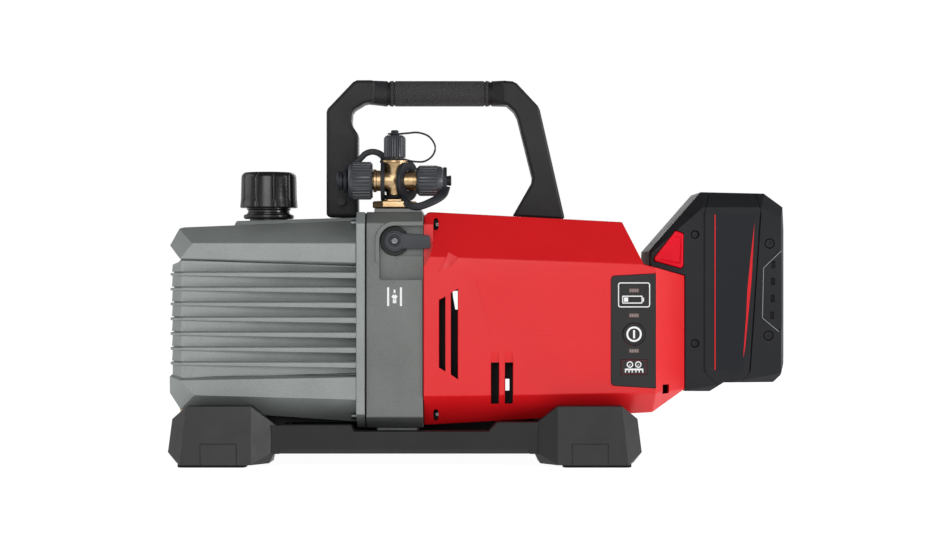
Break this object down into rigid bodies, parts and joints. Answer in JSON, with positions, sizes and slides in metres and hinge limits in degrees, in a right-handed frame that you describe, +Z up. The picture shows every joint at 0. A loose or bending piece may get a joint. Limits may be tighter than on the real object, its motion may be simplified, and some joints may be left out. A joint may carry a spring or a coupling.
{
  "type": "hvac vacuum pump",
  "caption": "Cordless two-stage vacuum pump with a finned oil tank, brass inlet manifold, carrying handle, control panel and slide-on battery.",
  "frame": {"origin": "on the ground, at the centre of the bounding box's bottom face", "axes": "+X from the oil tank towards the battery, -Y towards the control panel side, +Z up"},
  "size_m": [0.4194, 0.16, 0.2646],
  "materials": {
    "cast_aluminium": "grey textured paint on a die casting",
    "pump_iron": "machined",
    "black_plastic": "moulded, fine texture",
    "grip_rubber": "diamond texture",
    "red_plastic": "moulded, satin",
    "release_red": "moulded, satin",
    "battery_plastic": "moulded, fine texture",
    "panel_rubber": "matt keypad",
    "cap_plastic": "moulded, satin",
    "oil_cap_gloss": "gloss moulded",
    "brass": "forged and turned",
    "steel": "ground",
    "seal_rubber": "nitrile",
    "sight_window": "clear",
    "stator_iron": "laminations and windings",
    "board": "solder mask",
    "cell_wrap": "heat-shrink"
  },
  "bodies": {
    "root": {"base_frame": "black_plastic", "foot_front_left": "black_plastic", "foot_rear_left": "black_plastic", "foot_front_right": "black_plastic", "foot_rear_right": "black_plastic", "handle": "black_plastic", "handle_grip": "grip_rubber", "oil_tank": "cast_aluminium", "tank_gasket": "seal_rubber", "sight_glass_bezel": "black_plastic", "sight_glass": "sight_window", "drain_valve": "brass", "filler_neck": "black_plastic", "pump_casting": "cast_aluminium", "inlet_manifold": "brass", "cap_strap_top": "cap_plastic", "cap_strap_left": "cap_plastic", "cap_strap_right": "cap_plastic", "housing_front": "red_plastic", "housing_rear": "red_plastic", "control_panel": "panel_rubber", "control_board": "board", "battery_dock": "black_plastic", "dock_terminals": "brass", "motor_stator": "stator_iron", "motor_end_bell": "pump_iron", "first_stage_ring": "pump_iron", "second_stage_ring": "pump_iron", "stage_divider": "pump_iron", "pump_end_plate": "pump_iron", "shaft_seal": "seal_rubber"},
    "drive": {"motor_rotor": "steel", "cooling_fan": "black_plastic", "drive_coupling": "steel", "pump_shaft": "steel", "first_stage_rotor": "steel", "second_stage_rotor": "steel"},
    "lever": {"valve_lever": "black_plastic", "lever_screw": "steel", "valve_plug": "steel"},
    "top_cap_swivel": {"cap_swivel_top": "cap_plastic"},
    "top_cap": {"flare_cap_top": "cap_plastic"},
    "left_cap_swivel": {"cap_swivel_left": "cap_plastic"},
    "left_cap": {"flare_cap_left": "cap_plastic"},
    "right_cap_swivel": {"cap_swivel_right": "cap_plastic"},
    "right_cap": {"flare_cap_right": "cap_plastic"},
    "oil_cap_seal": {"oil_cap_seal": "seal_rubber"},
    "oil_cap": {"oil_cap": "oil_cap_gloss"},
    "drain_washer": {"drain_washer": "brass"},
    "drain_cap": {"drain_cap": "brass"},
    "battery_check": {"battery_check_button": "panel_rubber"},
    "mode": {"mode_button": "panel_rubber"},
    "power": {"power_button": "panel_rubber"},
    "battery": {"battery_inner_case": "battery_plastic", "battery_middle_case": "battery_plastic", "battery_end_case": "battery_plastic", "cell_pack": "cell_wrap"},
    "release_front": {"release_button_front": "release_red"},
    "release_rear": {"release_button_rear": "release_red"},
    "charge_gauge": {"charge_gauge_button": "panel_rubber"}
  },
  "joints": [
    {"name": "drive_spin", "type": "hinge", "parent": "root", "child": "drive", "pos_m": [0, 0, 0.098], "axis": [1, 0, 0], "continuous": true},
    {"name": "valve_lever_turn", "type": "hinge", "parent": "root", "child": "lever", "pos_m": [-0.0569, -0.063, 0.1518], "axis": [0, 1, 0], "range_deg": [0, 90]},
    {"name": "top_cap_travel", "type": "slide", "parent": "root", "child": "top_cap_swivel", "axis": [0, 0, 1], "range_m": [0, 0.00636], "deforming": ["cap_strap_top"]},
    {"name": "top_cap_turn", "type": "hinge", "parent": "top_cap_swivel", "child": "top_cap", "pos_m": [-0.0576, -0.034, 0.1934], "axis": [0, 0, 1], "range_deg": [0, 1800]},
    {"name": "left_cap_travel", "type": "slide", "parent": "root", "child": "left_cap_swivel", "axis": [-1, 0, 0], "range_m": [0, 0.00637], "deforming": ["cap_strap_left"]},
    {"name": "left_cap_turn", "type": "hinge", "parent": "left_cap_swivel", "child": "left_cap", "pos_m": [-0.0576, -0.034, 0.1934], "axis": [-1, 0, 0], "range_deg": [0, 1440]},
    {"name": "right_cap_travel", "type": "slide", "parent": "root", "child": "right_cap_swivel", "axis": [1, 0, 0], "range_m": [0, 0.00565], "deforming": ["cap_strap_right"]},
    {"name": "right_cap_turn", "type": "hinge", "parent": "right_cap_swivel", "child": "right_cap", "pos_m": [-0.0576, -0.034, 0.1934], "axis": [1, 0, 0], "range_deg": [0, 1440]},
    {"name": "oil_cap_travel", "type": "slide", "parent": "root", "child": "oil_cap_seal", "axis": [0, 0, 1], "range_m": [0, 0.01051]},
    {"name": "oil_cap_turn", "type": "hinge", "parent": "oil_cap_seal", "child": "oil_cap", "pos_m": [-0.1467, 0, 0.171], "axis": [0, 0, 1], "range_deg": [0, 1260]},
    {"name": "drain_cap_travel", "type": "slide", "parent": "root", "child": "drain_washer", "axis": [-1, 0, 0], "range_m": [0, 0.00376]},
    {"name": "drain_cap_turn", "type": "hinge", "parent": "drain_washer", "child": "drain_cap", "pos_m": [-0.199, -0.028, 0.0395], "axis": [-1, 0, 0], "range_deg": [0, 1080]},
    {"name": "battery_check_press", "type": "slide", "parent": "root", "child": "battery_check", "axis": [0, 1, 0], "range_m": [0, 0.0006], "stiffness_N_per_m": 500},
    {"name": "mode_press", "type": "slide", "parent": "root", "child": "mode", "axis": [0, 1, 0], "range_m": [0, 0.0006], "stiffness_N_per_m": 500},
    {"name": "power_press", "type": "slide", "parent": "root", "child": "power", "axis": [0, 1, 0], "range_m": [0, 0.001], "stiffness_N_per_m": 500},
    {"name": "battery_slide", "type": "slide", "parent": "root", "child": "battery", "axis": [0, 0, 1], "range_m": [0, 0.07]},
    {"name": "release_front_press", "type": "slide", "parent": "battery", "child": "release_front", "axis": [0, 1, 0], "range_m": [0, 0.003], "stiffness_N_per_m": 700},
    {"name": "release_rear_press", "type": "slide", "parent": "battery", "child": "release_rear", "axis": [0, -1, 0], "range_m": [0, 0.003], "stiffness_N_per_m": 700},
    {"name": "charge_gauge_press", "type": "slide", "parent": "battery", "child": "charge_gauge", "axis": [-1, 0, 0], "range_m": [0, 0.0006], "stiffness_N_per_m": 500}
  ],
  "couplings": [
    {"joint": "top_cap_travel", "follows": "top_cap_turn", "m_per_rad": 0.00020213},
    {"joint": "left_cap_travel", "follows": "left_cap_turn", "m_per_rad": 0.00025306},
    {"joint": "right_cap_travel", "follows": "right_cap_turn", "m_per_rad": 0.00022441},
    {"joint": "oil_cap_travel", "follows": "oil_cap_turn", "m_per_rad": 0.00047746},
    {"joint": "drain_cap_travel", "follows": "drain_cap_turn", "m_per_rad": 0.00019894}
  ]
}
